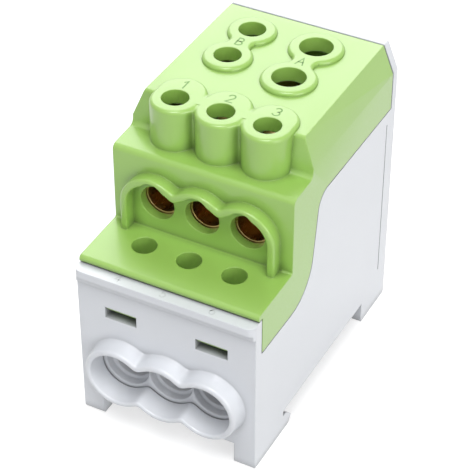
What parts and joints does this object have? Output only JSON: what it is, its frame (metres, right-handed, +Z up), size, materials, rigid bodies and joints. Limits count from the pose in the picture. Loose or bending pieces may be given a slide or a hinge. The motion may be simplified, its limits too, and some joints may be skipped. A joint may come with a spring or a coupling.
{
  "type": "power distribution block",
  "caption": "Rail-mounted distribution block: a grey and green moulded housing round a stepped brass body with main and branch conductor entries and clamping screws.",
  "frame": {"origin": "middle of the whole outline seen from above, in the plane of the feet", "axes": "+Z up and away from the rail, +Y from the branch side 4 to 6 to the main side A and B, +X to the right seen from the branch side"},
  "size_m": [0.039, 0.067, 0.0655],
  "materials": {
    "light_grey_plastic": "fine matt moulded",
    "green_plastic": "satin moulded",
    "brass": "machined",
    "steel": "zinc plated"
  },
  "bodies": {
    "housing": {"base_housing": "light_grey_plastic", "cover": "green_plastic", "terminal_block": "brass", "latch_spring": "steel"},
    "screw_a_front": {"clamp_screw_a_front": "steel"},
    "screw_a_rear": {"clamp_screw_a_rear": "steel"},
    "screw_b_front": {"clamp_screw_b_front": "steel"},
    "screw_b_rear": {"clamp_screw_b_rear": "steel"},
    "screw_1": {"clamp_screw_1": "steel"},
    "screw_2": {"clamp_screw_2": "steel"},
    "screw_3": {"clamp_screw_3": "steel"},
    "screw_4": {"clamp_screw_4": "steel"},
    "screw_5": {"clamp_screw_5": "steel"},
    "screw_6": {"clamp_screw_6": "steel"},
    "latch": {"rail_latch": "light_grey_plastic"}
  },
  "joints": [
    {"name": "screw_a_front_travel", "type": "slide", "parent": "housing", "child": "screw_a_front", "axis": [0, 0, -1], "range_m": [0, 0.0079]},
    {"name": "screw_a_rear_travel", "type": "slide", "parent": "housing", "child": "screw_a_rear", "axis": [0, 0, -1], "range_m": [0, 0.0079]},
    {"name": "screw_b_front_travel", "type": "slide", "parent": "housing", "child": "screw_b_front", "axis": [0, 0, -1], "range_m": [0, 0.0066]},
    {"name": "screw_b_rear_travel", "type": "slide", "parent": "housing", "child": "screw_b_rear", "axis": [0, 0, -1], "range_m": [0, 0.0066]},
    {"name": "screw_1_travel", "type": "slide", "parent": "housing", "child": "screw_1", "axis": [0, 0, -1], "range_m": [0, 0.0061]},
    {"name": "screw_2_travel", "type": "slide", "parent": "housing", "child": "screw_2", "axis": [0, 0, -1], "range_m": [0, 0.0061]},
    {"name": "screw_3_travel", "type": "slide", "parent": "housing", "child": "screw_3", "axis": [0, 0, -1], "range_m": [0, 0.0061]},
    {"name": "screw_4_travel", "type": "slide", "parent": "housing", "child": "screw_4", "axis": [0, 0, -1], "range_m": [0, 0.0054]},
    {"name": "screw_5_travel", "type": "slide", "parent": "housing", "child": "screw_5", "axis": [0, 0, -1], "range_m": [0, 0.0054]},
    {"name": "screw_6_travel", "type": "slide", "parent": "housing", "child": "screw_6", "axis": [0, 0, -1], "range_m": [0, 0.0054]},
    {"name": "latch_slide", "type": "slide", "parent": "housing", "child": "latch", "axis": [0, 1, 0], "range_m": [0, 0.0025], "stiffness_N_per_m": 800, "springref_m": -0.002, "deforming": ["latch_spring"]}
  ]
}
